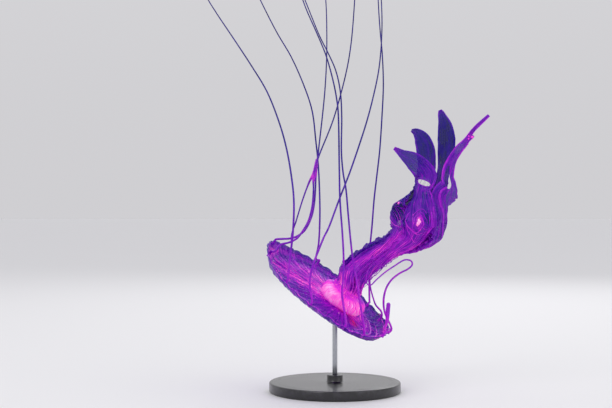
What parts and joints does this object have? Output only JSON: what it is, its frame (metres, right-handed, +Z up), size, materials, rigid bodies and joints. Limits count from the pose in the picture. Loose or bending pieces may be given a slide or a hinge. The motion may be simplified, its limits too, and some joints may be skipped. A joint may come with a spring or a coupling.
{
  "type": "sea nettle jellyfish model",
  "caption": "Life-size jellyfish with a saucer bell, frilly oral arms and long trailing tentacles, held on a round display stand.",
  "frame": {"origin": "centre of the underside of the stand's base, straight below the bell's apex", "axes": "+Z up; +X to the right, towards the low end of the bell and the oral arms; the picture is seen along +Y"},
  "size_m": [0.2978, 0.146, 0.4501],
  "materials": {
    "bell_jelly": "gloss",
    "stomach_tissue": "satin",
    "oral_arm_tissue": "gloss",
    "tentacle_tissue": "gloss",
    "stand_lacquer": "satin",
    "stand_steel": "satin"
  },
  "bodies": {
    "root": {"bell_crown": "bell_jelly", "bell_octant_1": "bell_jelly", "bell_octant_2": "bell_jelly", "bell_octant_3": "bell_jelly", "bell_octant_4": "bell_jelly", "bell_octant_5": "bell_jelly", "bell_octant_6": "bell_jelly", "bell_octant_7": "bell_jelly", "bell_octant_8": "bell_jelly", "gonad_1": "stomach_tissue", "gonad_2": "stomach_tissue", "gonad_3": "stomach_tissue", "gonad_4": "stomach_tissue", "mouth_stalk": "stomach_tissue", "oral_arm_1_root": "oral_arm_tissue", "oral_arm_1_middle": "oral_arm_tissue", "oral_arm_1_end": "oral_arm_tissue", "oral_arm_2_root": "oral_arm_tissue", "oral_arm_2_middle": "oral_arm_tissue", "oral_arm_2_end": "oral_arm_tissue", "oral_arm_3_root": "oral_arm_tissue", "oral_arm_3_middle": "oral_arm_tissue", "oral_arm_3_end": "oral_arm_tissue", "oral_arm_4_root": "oral_arm_tissue", "oral_arm_4_middle": "oral_arm_tissue", "oral_arm_4_end": "oral_arm_tissue", "tentacle_1_part_1": "tentacle_tissue", "tentacle_1_part_2": "tentacle_tissue", "tentacle_1_part_3": "tentacle_tissue", "tentacle_2_part_1": "tentacle_tissue", "tentacle_2_part_2": "tentacle_tissue", "tentacle_2_part_3": "tentacle_tissue", "tentacle_3_part_1": "tentacle_tissue", "tentacle_3_part_2": "tentacle_tissue", "tentacle_3_part_3": "tentacle_tissue", "tentacle_4_part_1": "tentacle_tissue", "tentacle_4_part_2": "tentacle_tissue", "tentacle_4_part_3": "tentacle_tissue", "tentacle_5_part_1": "tentacle_tissue", "tentacle_5_part_2": "tentacle_tissue", "tentacle_5_part_3": "tentacle_tissue", "tentacle_6_part_1": "tentacle_tissue", "tentacle_6_part_2": "tentacle_tissue", "tentacle_6_part_3": "tentacle_tissue", "tentacle_7_part_1": "tentacle_tissue", "tentacle_7_part_2": "tentacle_tissue", "tentacle_7_part_3": "tentacle_tissue", "tentacle_8_part_1": "tentacle_tissue", "tentacle_8_part_2": "tentacle_tissue", "tentacle_8_part_3": "tentacle_tissue", "tentacle_9_part_1": "tentacle_tissue", "tentacle_9_part_2": "tentacle_tissue", "tentacle_10_part_1": "tentacle_tissue", "tentacle_11_part_1": "tentacle_tissue", "tentacle_11_part_2": "tentacle_tissue", "tentacle_12_part_1": "tentacle_tissue", "stand_base": "stand_lacquer", "stand_rod": "stand_steel"}
  },
  "joints": []
}
